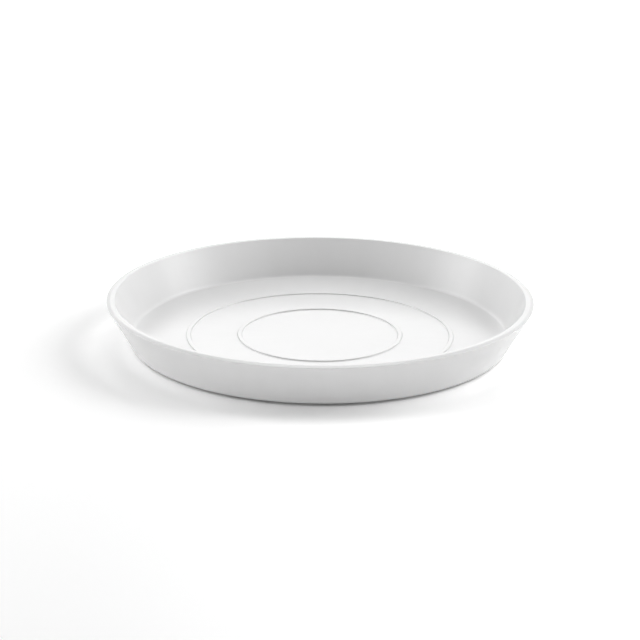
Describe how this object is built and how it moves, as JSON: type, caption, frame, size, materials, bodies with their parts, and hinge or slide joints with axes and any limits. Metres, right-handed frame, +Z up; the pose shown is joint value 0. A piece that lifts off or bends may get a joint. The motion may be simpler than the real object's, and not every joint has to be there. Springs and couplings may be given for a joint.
{
  "type": "plant saucer",
  "caption": "Round white plastic plant saucer: a shallow dish with a leaning wall, a flat lip and low concentric ribs on its floor, to stand under a pot and catch water.",
  "frame": {"origin": "centre of the saucer, on the surface it stands on (the foot ring's face)", "axes": "+Z up along the saucer's axis, towards the open side"},
  "size_m": [0.3, 0.3, 0.0331],
  "materials": {
    "white_plastic": "satin white polypropylene, as moulded"
  },
  "bodies": {
    "root": {"saucer": "white_plastic"}
  },
  "joints": []
}
